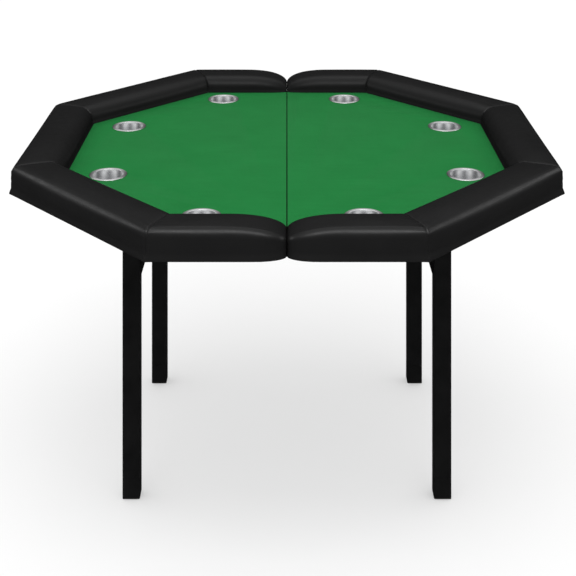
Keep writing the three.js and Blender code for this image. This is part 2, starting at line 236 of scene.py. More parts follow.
GLOSS, SHADED_GLOSS = 0.36, 0.03
# heights of the painted shade on the cover's inner faces, full below and gone above
SHADE_FULL_BELOW, SHADE_GONE_ABOVE = RAIL_FLOOR + 14.0, RAIL_FLOOR + 38.0


def gloss_with_painted_shade(tree):
    """Gloss of the cover, with painted shade: reflection dimmed low on the faces towards the
    cloth.
    """
    place = add(tree, "ShaderNodeTexCoord")
    outwards = add(
        tree,
        "ShaderNodeVectorMath",
        {0: place.outputs["Object"], 1: (1, 1, 0)},
        operation="MULTIPLY",
    ).outputs[0]
    turned = add(
        tree,
        "ShaderNodeVectorMath",
        {0: outwards, 1: place.outputs["Normal"]},
        operation="DOT_PRODUCT",
    ).outputs["Value"]
    # painted shade: faces turned towards the table's middle lose their reflection low down
    inside = spread(tree, turned, 1.0, 0.0, -0.30, -0.10)
    height = xyz(tree, place.outputs["Object"])[2]
    low = spread(tree, height, 1.0, 0.0, SHADE_FULL_BELOW * MM, SHADE_GONE_ABOVE * MM)
    return spread(tree, math_node(tree, "MULTIPLY", inside, low), GLOSS, SHADED_GLOSS)


def vinyl_material():
    material, tree, shader = new_material("rail_vinyl")
    flat = coordinates(tree)
    cells = add(
        tree,
        "ShaderNodeTexVoronoi",
        {"Vector": flat, "Scale": 620.0, "Randomness": 1.0, "Smoothness": 0.6},
        feature="SMOOTH_F1",
    ).outputs["Distance"]
    fine = noise(tree, flat, 1500.0, 3.0, 0.6)
    soft = noise(tree, flat, 55.0, 4.0, 0.6)
    grain = math_node(tree, "ADD", cells, math_node(tree, "MULTIPLY", fine, 0.5))
    small = bump(tree, grain, 0.22, 0.0003)
    large = bump(tree, soft, 0.08, 0.001, small)
    tone = noise(tree, flat, 9.0, 3.0, 0.6)
    wire(
        tree,
        shader,
        Base_Color=mix_colour(
            tree, tone, (0.0068, 0.0068, 0.0069, 1), (0.0098, 0.0098, 0.0100, 1)
        ),
        Roughness=spread(tree, math_node(tree, "ADD", soft, tone), 0.34, 0.44, 0.7, 1.3),
        Normal=large,
        # the specular level carries painted shade low on the inner faces
        Specular_IOR_Level=gloss_with_painted_shade(tree),
    )
    return material


def painted_room_reflection(tree, place):
    """Light that the cup holders give off, shaped by the direction that they reflect.

    It is a painted reflection of a pale room: dark to the sides, painted shade in the depth of
    the well and at the left and right ends of the rim, painted upright streaks inside the well.
    """
    mirrored = xyz(tree, add(tree, "ShaderNodeTexCoord").outputs["Reflection"])
    sideways, upwards = mirrored[0], mirrored[2]
    # painted reflection: brighter where the reflected direction points upwards
    level = spread(tree, upwards, 0.30, 0.38, -0.50, 0.40)
    flank = spread(tree, math_node(tree, "ABSOLUTE", sideways), 1.0, 0.06, 0.72, 0.97)
    spot = xyz(tree, place)
    height = spot[2]
    # painted shade: darker deeper in the well
    depth = spread(tree, height, 0.05, 1.0, -0.030, -0.003)
    # painted shade at the rim's left and right ends, fixed by place on the holder
    wing = spread(tree, math_node(tree, "ABSOLUTE", spot[0]), 1.0, 0.12, 0.022, 0.041)
    # painted upright streaks of reflection inside the well
    bands = math_node(tree, "COSINE", math_node(tree, "MULTIPLY", sideways, 4.6))
    below = spread(tree, height, 1.0, 0.0, -0.005, 0.0)
    streak = math_node(tree, "MULTIPLY", spread(tree, bands, -0.72, 0.50, 1.0, -1.0), below)
    shown = math_node(tree, "MULTIPLY", math_node(tree, "MULTIPLY", level, flank), wing)
    lit = math_node(tree, "ADD", streak, 1.0)
    return math_node(tree, "MULTIPLY", shown, math_node(tree, "MULTIPLY", depth, lit))


def cup_material():
    material, tree, shader = new_material(
        "polished_steel", Metallic=1.0, Emission_Color=(0.98, 0.99, 1.0, 1)
    )
    place = add(tree, "ShaderNodeTexCoord").outputs["Object"]
    x, y, z = xyz(tree, place)
    squares = [math_node(tree, "MULTIPLY", part, part) for part in (x, y)]
    radius = math_node(tree, "SQRT", math_node(tree, "ADD", *squares))
    turned = add(tree, "ShaderNodeCombineXYZ", {0: radius, 1: z})
    lines = noise(tree, turned.outputs[0], 420.0, 2.0, 0.5)
    smear = noise(tree, place, 26.0, 2.0, 0.5)
    wire(
        tree,
        shader,
        Base_Color=mix_colour(tree, smear, (0.60, 0.61, 0.62, 1), (0.70, 0.70, 0.71, 1)),
        Roughness=spread(tree, math_node(tree, "ADD", lines, smear), 0.20, 0.28, 0.7, 1.4),
        Normal=bump(tree, lines, 0.01, 0.00005),
        # the glow is a painted reflection of the room, with painted shade in the well and at the
        # rim's ends
        Emission_Strength=painted_room_reflection(tree, place),
    )
    return material


def coated_material(name, base, rough, scale, strength):
    """Powder coat or moulded plastic: a dark base with a fine uneven surface."""
    material, tree, shader = new_material(name, Specular_IOR_Level=0.4)
    flat = coordinates(tree)
    peel = noise(tree, flat, scale, 2.0, 0.5)
    dust = noise(tree, flat, 24.0, 5.0, 0.65)
    rub = noise(tree, coordinates(tree, (60, 60, 9)), 3.0, 4.0, 0.7)
    light = tuple(min(1.0, c * 1.7) for c in base[:3]) + (1,)
    wire(
        tree,
        shader,
        Base_Color=mix_colour(tree, spread(tree, dust, 0, 1, 0.35, 0.75), base, light),
        Roughness=spread(tree, rub, rough - 0.07, rough + 0.09, 0.3, 0.7),
        Normal=bump(tree, peel, strength, 0.0003),
    )
    return material


def zinc_material():
    material, tree, shader = new_material("zinc_plate", Metallic=1.0)
    grain = noise(tree, coordinates(tree, (500, 60, 500)), 4.0, 3.0, 0.6)
    cloud = noise(tree, coordinates(tree), 120.0, 3.0, 0.55)
    wire(
        tree,
        shader,
        Base_Color=mix_colour(tree, cloud, (0.50, 0.51, 0.54, 1), (0.68, 0.68, 0.69, 1)),
        Roughness=spread(tree, math_node(tree, "ADD", grain, cloud), 0.24, 0.46, 0.6, 1.4),
        Normal=bump(tree, grain, 0.12, 0.0002),
    )
    return material


PLY_TURN = 2 * math.pi / 0.0029  # one turn of the stripes for each 2.9 mm layer


def wood_material(name, pale, dark, plies):
    """Painted wood, its grain along Y still showing; plies draws layers on cut edges."""
    material, tree, shader = new_material(name, Specular_IOR_Level=0.35)
    warp = noise(tree, coordinates(tree, (7, 1.2, 7)), 1.6, 4.0, 0.6)
    place = coordinates(tree, (95, 3.0, 95))
    bent = add(tree, "ShaderNodeVectorMath", {0: place}, operation="ADD")
    shift = add(tree, "ShaderNodeCombineXYZ", {0: math_node(tree, "MULTIPLY", warp, 14.0)})
    tree.links.new(shift.outputs[0], bent.inputs[1])
    grain = noise(tree, bent.outputs[0], 1.0, 5.0, 0.65)
    pores = noise(tree, coordinates(tree, (1500, 55, 1500)), 1.0, 2.0, 0.6)
    colour = mix_colour(tree, spread(tree, grain, 0, 1, 0.3, 0.7), pale, dark)
    if plies:
        layer = math_node(tree, "MULTIPLY", xyz(tree, coordinates(tree))[2], PLY_TURN)
        stripe = spread(tree, math_node(tree, "SINE", layer), 0, 1, -0.25, 0.25)
        facing = add(tree, "ShaderNodeNewGeometry").outputs["Normal"]
        up = math_node(tree, "ABSOLUTE", xyz(tree, facing)[2])
        cut_edge = math_node(tree, "LESS_THAN", up, 0.5)
        shown = math_node(tree, "MULTIPLY", stripe, cut_edge)
        colour = mix_colour(tree, shown, colour, tuple(c * 0.45 for c in dark[:3]) + (1,))
    shade = spread(tree, pores, 0.82, 1.08, 0.3, 0.7)
    wire(
        tree,
        shader,
        Base_Color=mix_colour(tree, 1.0, colour, grey(tree, shade), "MULTIPLY"),
        Roughness=spread(tree, grain, 0.5, 0.66),
        Normal=bump(tree, pores, 0.14, 0.0002),
    )
    return material


FELT = felt_material()
VINYL = vinyl_material()
CUP = cup_material()
BLACK = (0.0040, 0.0040, 0.0042, 1)
COATED = coated_material("black_powder_coat", BLACK, 0.40, 1100.0, 0.10)
PLASTIC = coated_material("black_plastic", BLACK, 0.55, 700.0, 0.16)
ZINC = zinc_material()
PLY = wood_material("black_plywood", (0.030, 0.029, 0.028, 1), (0.012, 0.0115, 0.011, 1), True)
PINE = wood_material("black_pine", (0.026, 0.025, 0.024, 1), (0.011, 0.0105, 0.010, 1), False)

# ---- mesh helpers -----------------------------------------------------------------


def piece(name, vertices, faces, material, body, sharp=35.0, origin=(0, 0, 0)):
    """A finished mesh object from millimetre vertices, riding on its body."""
    offset = np.array(origin, float)
    mesh = bpy.data.meshes.new(name)
    mesh.from_pydata(((np.asarray(vertices, float) - offset) * MM).tolist(), [], faces)
    mesh.validate()
    mesh.shade_smooth()
    mesh.set_sharp_from_angle(angle=math.radians(sharp))
    mesh.materials.append(material)
    made = bpy.data.objects.new(name, mesh)
    made.location = Vector(offset * MM)
    bpy.context.scene.collection.objects.link(made)
    if body is not None:
        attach(made, body)
    return made


def on_half(points, way):
    """Points of the right half, turned by 180 degrees about Z for the left half."""
    return np.asarray(points) * np.array([way, way, 1])


def lathe(profile, segments, centre):
    """A closed turned solid from (radius, z) points; a zero radius is one point."""
    vertices, rows, faces = [], [], []
    for radius, z in profile:
        count = 1 if radius < 1e-6 else segments
        rows.append((len(vertices), count))
        for i in range(count):
            angle = 2 * math.pi * i / segments
            vertices.append(
                (centre[0] + radius * math.cos(angle), centre[1] + radius * math.sin(angle), z)
            )
    for (start, count), (after, next_count) in zip(rows, rows[1:]):
        for i in range(segments):
            j = (i + 1) % segments
            if count == 1:
                faces.append((start, after + j, after + i))
            elif next_count == 1:
                faces.append((start + i, start + j, after))
            else:
                faces.append((start + i, start + j, after + j, after + i))
    return np.array(vertices), faces


def merged(parts):
    """Several (vertices, faces) as one."""
    vertices, faces = [], []
    for points, polygons in parts:
        base = sum(len(v) for v in vertices)
        vertices.append(np.asarray(points))
        faces += [tuple(base + i for i in polygon) for polygon in polygons]
    return np.vstack(vertices), faces


# ---- padded rail ------------------------------------------------------------------


def closing(from_end, length):
    """How far a round end has closed in: 1 at the end, 0 at the given length."""
    remaining = max(0.0, 1 - from_end / length)
    return 1 - math.sqrt(max(0.0, 1 - remaining * remaining))


def arc(centre, radii, start, stop, count):
    angles = np.linspace(start, stop, count + 1)
    return [
        (centre[0] + radii[0] * math.cos(a), centre[1] + radii[1] * math.sin(a)) for a in angles
    ]


def straight(a, b, count):
    """Points after a up to b."""
    return [tuple(np.array(a) + (np.array(b) - a) * i / count) for i in range(1, count + 1)]


def cover_profile(density):
    """Cover from its outer hem, over the top, to its inner foot, as (r, z) points."""
    outer = (RAIL_OUTER - OUTER_ROUND, RAIL_TOP - OUTER_ROUND)
    inner = (RAIL_INNER + INNER_ROUND, RAIL_TOP - INNER_ROUND)
    points = [(RAIL_OUTER, UNDERSIDE)]
    points += straight(points[-1], (RAIL_OUTER, outer[1]), 5 * density)
    points += arc(outer, [OUTER_ROUND] * 2, 0, math.pi / 2, 4 * density)[1:]
    points += straight(points[-1], (inner[0], RAIL_TOP), 6 * density)
    points += arc(inner, [INNER_ROUND] * 2, math.pi / 2, math.pi, 6 * density)[1:]
    points += straight(points[-1], (RAIL_INNER, RAIL_FLOOR), density)
    return np.array(points)


def profile_normals(points):
    tangent = np.gradient(points, axis=0)
    normal = np.stack([tangent[:, 1], -tangent[:, 0]], axis=1)
    return normal / np.linalg.norm(normal, axis=1, keepdims=True)


def looseness(points):
    """0 where the cover is held, at its hem and its foot, and 1 where it is free."""
    outside = points[:, 0] > (RAIL_OUTER + RAIL_INNER) / 2
    held = np.where(outside, points[:, 1] - UNDERSIDE, points[:, 1] - RAIL_FLOOR)
    span = np.where(outside, 14.0, 9.0)
    share = np.clip(held / span, 0, 1)
    return share * share * (3 - 2 * share)


def shaped(points, from_end):
    """The cover's section drawn in towards the fold, at a distance from it."""
    share = (points[:, 0] - RAIL_INNER) / (RAIL_OUTER - RAIL_INNER)
    inside = END_INNER[0] * closing(from_end, END_INNER[1])
    outside = END_OUTER[0] * closing(from_end, END_OUTER[1])
    keep = 1 - END_DROP[0] * closing(from_end, END_DROP[1]) / (RAIL_TOP - RAIL_FLOOR)
    z = points[:, 1]
    height = np.where(z > RAIL_FLOOR, RAIL_FLOOR + (z - RAIL_FLOOR) * keep, z)
    r = points[:, 0] + inside * (1 - share) - outside * share
    return np.stack([r, height], axis=1)


def hollow(from_end):
    """The cover's underside, from its inner foot round the rim and board to its hem."""
    wall = BOARD_EDGE + 0.6 - BOARD_INSET[0] * closing(from_end, BOARD_INSET[1])
    foot = RAIL_INNER + 3.4 + END_INNER[0] * closing(from_end, END_INNER[1])
    opened = min(1.0, max(0.0, (from_end - RIM_START) / (RIM_FULL - RIM_START)))
    ceiling = RAIL_FLOOR + 0.2 + (RIM_TOP + 0.6 - RAIL_FLOOR - 0.2) * opened
    across = [(foot + (wall - foot) * i / 5, ceiling) for i in range(6)]
    return np.array([(foot, RAIL_FLOOR), *across, (wall, RAIL_FLOOR - 6), (wall, UNDERSIDE)])


RAIL_MIDDLE = (RAIL_INNER + RAIL_OUTER) / 2


def stations(end_steps, seam_steps, spacing):
    """Lines across the rail along the right half, near end to far end.

    Each is (A, B, distance from the fold, distance from the nearest seam); a point
    at r on it is A + r B.
    """
    end_at = np.array([END_SIDE - RAIL_OUTER * END_SLOPE, 0])
    side_at = np.array([0, LONG_SIDE - RAIL_OUTER * SIDE_SLOPE])
    corners = [
        (end_at, np.array([END_SLOPE, -1])),
        (-side_at, np.array([1, -SIDE_SLOPE])),
        (side_at, np.array([1, SIDE_SLOPE])),
        (end_at, np.array([END_SLOPE, 1])),
    ]
    last = end_steps[-1]
    near_a, near_b = np.array([COVER_FOLD + last, 0.0]), np.array([0.0, -1.0])
    far_b = np.array([0.0, 1.0])
    legs = [
        (near_a, near_b, *corners[0], False, True),
        (*corners[0], *corners[1], True, True),
        (*corners[1], *corners[2], True, True),
        (*corners[2], *corners[3], True, True),
        (*corners[3], near_a, far_b, True, False),
    ]
    rows = [(np.array([COVER_FOLD + e, 0.0]), near_b, e, FAR_OFF) for e in end_steps[:-1]]
    for a0, b0, a1, b1, seam_first, seam_last in legs:
        length = np.linalg.norm(a1 + RAIL_MIDDLE * b1 - a0 - RAIL_MIDDLE * b0)
        places = {0.0}
        first = seam_steps[-1] if seam_first else 0.0
        final = length - seam_steps[-1] if seam_last else length
        if seam_first:
            places |= set(seam_steps)
        if seam_last:
            places |= {length - s for s in seam_steps if s > 0}
        count = max(1, round((final - first) / spacing))
        places |= {first + (final - first) * i / count for i in range(count)}
        for place in sorted(places):
            if place > length - 1e-6:
                continue
            share = place / length
            gap = min(
                place if seam_first else FAR_OFF, length - place if seam_last else FAR_OFF
            )
            rows.append((a0 + (a1 - a0) * share, b0 + (b1 - b0) * share, FAR_OFF, gap))
    for e in reversed(end_steps):
        rows.append((np.array([COVER_FOLD + e, 0.0]), far_b, e, FAR_OFF))
    return rows


def placed(rows, sections):
    """3-D points of every section, which is a list of (r, z) at each station."""
    return np.array(
        [
            [(*(a + r * b), z) for r, z in section]
            for (a, b, _, _), section in zip(rows, sections)
        ]
    )


def tube_faces(row_count, ring):
    faces = []
    for s in range(row_count - 1):
        for i in range(ring):
            j = (i + 1) % ring
            faces.append(
                (s * ring + i, (s + 1) * ring + i, (s + 1) * ring + j, s * ring + j)
            )
    return faces


def end_caps(section, row_count, ring):
    """Triangles that close both ends, over the ring's own points."""
    flat = [Vector((r, z, 0)) for r, z in section]
    last = (row_count - 1) * ring
    faces = []
    for a, b, c in geometry.tessellate_polygon([flat]):
        area = (flat[b] - flat[a]).cross(flat[c] - flat[a]).z
        if area < 0:
            b, c = c, b
        faces += [(a, b, c), (last + a, last + c, last + b)]
    return faces


# Steps of the grid from the fold and from a seam, and its spacing in between: a coarse
# grid for the simulation and a fine one for the finished cover.
SIM_GRID = ([0, 3, 8, 15, 24, 34, 39, 48, 60, 74, 90, 110], [0, 5, 12], 9.0)
FINE_ENDS = [0, 0.25, 0.8, 1.8, 3.2, 5, 7.5, 10.5, 14, 18, 23, 28.5]
FINE_ENDS += [34, 36.5, 39, 44, 50, 57, 65, 74, 84, 96, 110]
FINE_GRID = (FINE_ENDS, [0, 0.9, 1.9, 3.1, 4.6, 6.5, 9, 12.5, 17, 22.5], 5.5)
SIM_FRAMES = 20
START_INSET = 3.0  # the cover starts this much inside its final place
SWELL_TYPICAL = 4.0  # nine points in ten swell less than this
SWELL_CAP = 4.8


def swollen():
    """Moves of the cover's sim grid once air pressure has filled it out."""
    profile = cover_profile(1)
    normals, loose = profile_normals(profile), looseness(profile)
    rows = stations(*SIM_GRID)
    under = len(hollow(0))
    sections, pins = [], []
    for index, (_, _, from_end, gap) in enumerate(rows):
        start = profile - normals * (START_INSET * loose)[:, None]
        sections.append(np.vstack([shaped(start, from_end), hollow(from_end)]))
        held = index in (0, len(rows) - 1) or gap < 0.5
        pins.append([1.0 if held else 1 - value for value in loose] + [1.0] * under)
    grid = placed(rows, sections)
    ring = grid.shape[1]
    faces = tube_faces(len(rows), ring) + end_caps(sections[0], len(rows), ring)
    pad = piece("cover_sim", grid.reshape(-1, 3), faces, VINYL, None)
    group = pad.vertex_groups.new(name="held")
    for index, weight in enumerate(np.array(pins).reshape(-1)):
        if weight > 0.001:
            group.add([index], float(weight), "REPLACE")
    cloth = pad.modifiers.new("Cloth", "CLOTH")
    settings = cloth.settings
    settings.quality = 6
    settings.mass = 0.25
    settings.tension_stiffness = settings.compression_stiffness = 60
    settings.shear_stiffness = 30
    settings.bending_stiffness = 2.0
    settings.use_pressure = True
    settings.uniform_pressure_force = 1.2
    settings.vertex_group_mass = "held"
    settings.effector_weights.gravity = 0
    cloth.collision_settings.use_collision = False
    cloth.collision_settings.use_self_collision = False
    cloth.point_cache.frame_start, cloth.point_cache.frame_end = 1, SIM_FRAMES
    scene = bpy.context.scene
    for number in range(1, SIM_FRAMES + 1):
        scene.frame_set(number)
    posed = pad.evaluated_get(bpy.context.evaluated_depsgraph_get())
    moved = np.array([v.co for v in posed.data.vertices]) / MM
    scene.frame_set(1)
    bpy.data.objects.remove(pad)
    move = (moved - grid.reshape(-1, 3)).reshape(grid.shape)[:, : len(profile)]
    length = np.linalg.norm(move, axis=2, keepdims=True)
    move *= SWELL_TYPICAL / np.percentile(length, 90)
    length = np.linalg.norm(move, axis=2, keepdims=True)
    move *= np.minimum(1, SWELL_CAP / np.maximum(length, 1e-6))
    for _ in range(6):  # evens out single points without moving the held ones
        inner = move[1:-1, 1:-1]
        around = move[:-2, 1:-1] + move[2:, 1:-1] + move[1:-1, :-2] + move[1:-1, 2:]
        free = (np.array(pins)[1:-1, 1 : len(profile) - 1] < 0.99)[..., None]
        move[1:-1, 1:-1] = np.where(free, inner * 0.5 + around * 0.125, inner)
    return rows, move


def path_places(rows):
    """Running length along the middle of the rail at each station."""
    points = np.array([a + RAIL_MIDDLE * b for a, b, _, _ in rows])
    steps = np.linalg.norm(np.diff(points, axis=0), axis=1)
    return np.concatenate([[0], np.cumsum(steps)])


def resampled(move, rows, fine_rows, columns):
    """The swell carried from the sim grid to the finer grid of the finished cover."""
    coarse, fine = path_places(rows), path_places(fine_rows)
    along = np.stack(
        [
            [np.interp(fine, coarse, move[:, i, k]) for k in range(3)]
            for i in range(move.shape[1])
        ]
    )
    along = along.transpose(2, 0, 1)
    old = np.arange(move.shape[1], dtype=float)
    new = np.linspace(0, move.shape[1] - 1, columns)
    return np.stack(
        [[np.interp(new, old, along[s, :, k]) for k in range(3)] for s in range(len(fine))]
    ).transpose(0, 2, 1)


def seam_depth(gap, around, phase):
    """How far the cover is pulled in near a seam: a stitched valley and small puckers."""
    valley = 1.7 * math.exp(-((gap / 1.7) ** 2)) + 0.6 * math.exp(-gap / 6.0)
    pucker = 0.42 * math.exp(-gap / 11.0) * (1 - math.exp(-gap / 2.5))
    wave = np.sin(around / 2.35 + phase) + 0.6 * np.sin(around / 1.37 + 2.1 * phase)
    return valley + pucker * wave


def rail_cover():
    """Vertices and faces of the padded rail of the right half."""
    rows, move = swollen()
    profile = cover_profile(3)
    normals, loose = profile_normals(profile), looseness(profile)
    fine_rows = stations(*FINE_GRID)
    swell = resampled(move, rows, fine_rows, len(profile))
    steps = np.linalg.norm(np.diff(profile, axis=0), axis=1)
    around = np.concatenate([[0], np.cumsum(steps)])
    sections = []
    seam = 0
    for _, _, from_end, gap in fine_rows:
        if gap == 0:
            seam += 1
        depth = START_INSET * loose
        if gap < 60:  # further off, a seam moves nothing that can be seen
            depth = depth + seam_depth(gap, around, 1.7 * seam) * loose
        start = profile - normals * depth[:, None]
        sections.append(np.vstack([shaped(start, from_end), hollow(from_end)]))
    grid = placed(fine_rows, sections)
    grid[:, : len(profile)] += swell
    grid[..., 0] = np.maximum(grid[..., 0], COVER_FOLD)  # stays on its own side of the fold
    ring = grid.shape[1]
    faces = tube_faces(len(fine_rows), ring) + end_caps(sections[0], len(fine_rows), ring)
    return grid.reshape(-1, 3), faces


cover_points, cover_faces = rail_cover()
for side, way in SIDES.items():
    name, points = f"{side}_rail_cover", on_half(cover_points, way)
    cover = piece(name, points, cover_faces, VINYL, f"{side}_half", sharp=50.0)
    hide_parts(f"{side}_rail_padding")

# ---- hem of the cover and its staples, on the underside ---------------------------

HEM_WIDTH = 32.0
HEM_LOW = UNDERSIDE - 1.1
HEM_TOP = UNDERSIDE - 0.15
HEM_GRID = ([0, 2, 6, 12, 20, 32, 48, 70], [0, 2, 5, 10], 14.0)
STAPLE_GRID = ([14, 40, 70], [0, 16], 36.0)
STAPLE_LINE = RAIL_OUTER - 22.0


def hem():
    """Vinyl turned under the board's edge, a thin strip with a ragged inner edge."""
    rows = stations(*HEM_GRID)
    draw = random.Random(3)
    sections = []
    for _, _, from_end, gap in rows:
        outer = RAIL_OUTER - 0.4 - END_OUTER[0] * closing(from_end, END_OUTER[1])
        ruck = 0.5 * math.exp(-gap / 6.0)
        inner = outer - HEM_WIDTH + draw.uniform(-1.2, 1.2)
        low = HEM_LOW - ruck
        section = [(outer, HEM_TOP), (outer - 0.3, low + 0.35), (outer - 1.0, low)]
        section += [(outer - 9, low + 0.1), (outer - 17, low + 0.28), (inner + 6, low + 0.1)]
        section += [(inner, low + 0.05), (inner, HEM_TOP)]
        sections.append(np.array(section))
    grid = placed(rows, sections)
    ring = grid.shape[1]
    faces = tube_faces(len(rows), ring) + end_caps(sections[0], len(rows), ring)
    return grid.reshape(-1, 3), [tuple(reversed(f)) for f in faces]


def bar(start, stop, width, height):
    """A small block between two points, chamfered along its lower edges."""
    start, stop = np.array(start, float), np.array(stop, float)
    along = (stop - start) / np.linalg.norm(stop - start)
    side = np.array([-along[1], along[0], 0]) * width / 2
    up = np.array([0, 0, height])
    trim = 0.35
    ring = [(-1, 1), (-1, trim), (-trim, 0), (trim, 0), (1, trim), (1, 1)]
    points = [end + side * a + up * b for end in (start, stop) for a, b in ring]
    n = len(ring)
    faces = [(i, (i + 1) % n, n + (i + 1) % n, n + i) for i in range(n)]
    faces += [tuple(reversed(range(n))), tuple(range(n, 2 * n))]
    return np.array(points), faces


def staples():
    draw = random.Random(11)
    parts = []
    for a, b, from_end, gap in stations(*STAPLE_GRID):
        if gap == 0:  # none in the seam itself
            continue
        inset = END_OUTER[0] * closing(from_end, END_OUTER[1])
        centre = np.array([*(a + (STAPLE_LINE - inset) * b), UNDERSIDE - 1.55])
        centre[:2] += [draw.uniform(-2, 2), draw.uniform(-2, 2)]
        turn = math.atan2(b[1], b[0]) + math.pi / 2 + draw.uniform(-0.35, 0.35)
        reach = np.array([math.cos(turn), math.sin(turn), 0]) * 5.2
        parts.append(bar(centre - reach, centre + reach, 1.3, 0.9))
    return merged(parts)


hem_points, hem_faces = hem()
staple_points, staple_faces = staples()
for side, way in SIDES.items():
    name, points = f"{side}_rail_hem", on_half(hem_points, way)
    piece(name, points, hem_faces, VINYL, f"{side}_half")
    name, points = f"{side}_staples", on_half(staple_points, way)
    piece(name, points, staple_faces, ZINC, f"{side}_half")

# ---- felt -------------------------------------------------------------------------

CUP_NODES = [f"{s}_{p}_cup_{e}" for s in SIDES for p in ("end", "side") for e in ENDS]
CUP_CUT = 37.0  # radius of the holes in the cloth
CLOTH_EDGE = 499.3  # how far out the cloth goes, under the rail's foot
CLOTH_TAB = 509.0  # and next to the fold, where the rail closes in
CLOTH_ROLL = 0.55  # radius of its round edges


def node_centre(name):
    low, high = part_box(name)
    return ((low + high) / 2) / MM


def cloth_outline():
    """The right half's cloth: under the rail's foot, and further out at the fold."""
    edge, tab = CLOTH_EDGE, CLOTH_TAB
    short = END_SIDE - (RAIL_OUTER - edge) * END_SLOPE
    long = LONG_SIDE - (RAIL_OUTER - edge) * SIDE_SLOPE
    side = [(CLOTH_FOLD, -tab), (31, -tab), (34, -edge), (short, -edge), (edge, -long)]
    return side + [(x, -y) for x, y in reversed(side)]


def circle(centre, radius, count):
    angles = np.linspace(0, 2 * math.pi, count, endpoint=False)
    return [(centre.x + radius * math.cos(a), centre.y + radius * math.sin(a)) for a in angles]


def felt_sheet(side, way):
    """Cloth with round edges at the fold and round the cup holders, as a mesh."""
    low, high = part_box(f"{side}_felt")
    thickness = (high.z - low.z) / MM
    loops = [[(way * x, way * y) for x, y in cloth_outline()]]
    for name in CUP_NODES:
        if name.startswith(side):
            loops.append(circle(node_centre(name), CUP_CUT, 64))
    curve = bpy.data.curves.new(f"{side}_cloth", "CURVE")
    curve.dimensions, curve.fill_mode = "2D", "BOTH"
    curve.extrude = (thickness / 2 - CLOTH_ROLL) * MM
    curve.bevel_depth, curve.bevel_resolution = CLOTH_ROLL * MM, 2
    curve.offset = -CLOTH_ROLL * MM
    for loop in loops:
        spline = curve.splines.new("POLY")
        spline.points.add(len(loop) - 1)
        for point, (x, y) in zip(spline.points, loop):
            point.co = (x * MM, y * MM, 0, 1)
        spline.use_cyclic_u = True
    shape = bpy.data.objects.new("cloth_curve", curve)
    bpy.context.scene.collection.objects.link(shape)
    seen = shape.evaluated_get(bpy.context.evaluated_depsgraph_get())
    mesh = bpy.data.meshes.new_from_object(seen)
    points = np.array([v.co for v in mesh.vertices]) / MM
    points[:, 2] += (low.z + high.z) / 2 / MM
    faces = [tuple(p.vertices) for p in mesh.polygons]
    bpy.data.objects.remove(shape)
    return welded(points, faces)


def welded(points, faces):
    """Coincident points joined, and faces that vanish with them dropped."""
    keys, index, kept = {}, [], []
    for point in points:
        key = tuple(np.round(point, 4))
        if key not in keys:
            keys[key] = len(kept)
            kept.append(point)
        index.append(keys[key])
    clean = []
    for face in faces:
        loop = [index[i] for i in face]
        loop = [v for i, v in enumerate(loop) if v != loop[i - 1]]
        if len(loop) > 2:
            clean.append(tuple(loop))
    return np.array(kept), clean


for side, way in SIDES.items():
    points, faces = felt_sheet(side, way)
    cloth = piece(f"{side}_cloth", points, faces, FELT, f"{side}_half", sharp=20.0)
    cloth.visible_glossy = False  # keeps the rail's inner faces dark
    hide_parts(f"{side}_felt")

# ---- cup holders ------------------------------------------------------------------


CUP_WALL, CUP_RIM, CUP_SKIN = 35.0, 42.4, 1.0  # outer radii, and sheet thickness


def cup_profile(bottom, top):
    """Drop-in holder: a dished floor, a straight well and a rolled rim on the cloth."""
    seat = FELT_TOP + 0.15
    wall, rim, inner = CUP_WALL, CUP_RIM, CUP_WALL - CUP_SKIN
    outside = [(0, bottom), (wall - 6, bottom)]
    outside += arc((wall - 6, bottom + 6), (6, 6), -math.pi / 2, 0, 6)[1:]
    outside += [(wall, bottom + 12), (wall, seat - 4), (wall, seat - 0.1), (wall + 0.6, seat)]
    outside += [(rim - 1.1, seat), (rim - 0.4, seat + 0.05), (rim, seat + 0.45)]
    crest = top - 0.1
    half = (rim - inner) / 2
    roll = arc((rim - half, seat + 0.45), (half, crest - seat - 0.45), 0, math.pi, 14)[1:]
    well = [(inner, crest - 3.4), (inner, seat - 8)]
    well += [(inner - 0.2, bottom + 20), (inner - 0.3, bottom + 9)]
    well += arc((inner - 6.3, bottom + 7.2), (6, 5.4), 0, -math.pi / 2, 8)[1:]
    well += [(inner - 11, bottom + 1.75), (inner - 13, bottom + 2.3), (9, bottom + 2.6)]
    well += [(0, bottom + 2.7)]
    return outside + roll + well


for name in CUP_NODES:
    low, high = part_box(name)
    centre = node_centre(name)
    profile = cup_profile(low.z / MM, high.z / MM)
    points, faces = lathe(profile, 96, (centre.x, centre.y))
    holder = piece(
        name.replace("_cup_", "_cup_holder_"),
        points,
        faces,
        CUP,
        f"{name.split('_')[0]}_half",
        sharp=40.0,
        origin=(centre.x, centre.y, FELT_TOP),
    )
    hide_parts(name)

# ---- carried-over CAD nodes: materials and softened edges -------------------------


def dress(name, material, edge=0.0):
    """Material and a small edge bevel for a CAD node that stays."""
    node = nodes[name]
    if not node.material_slots:
        node.data.materials.append(material)
    for held in node.material_slots:
        held.link = "OBJECT"
        held.material = material
    if edge:
        bevel = node.modifiers.new("edges", "BEVEL")
        bevel.width = edge * MM
        bevel.segments = 2
        bevel.limit_method = "ANGLE"
        bevel.angle_limit = math.radians(32)
        bevel.harden_normals = False
        bevel.use_clamp_overlap = True


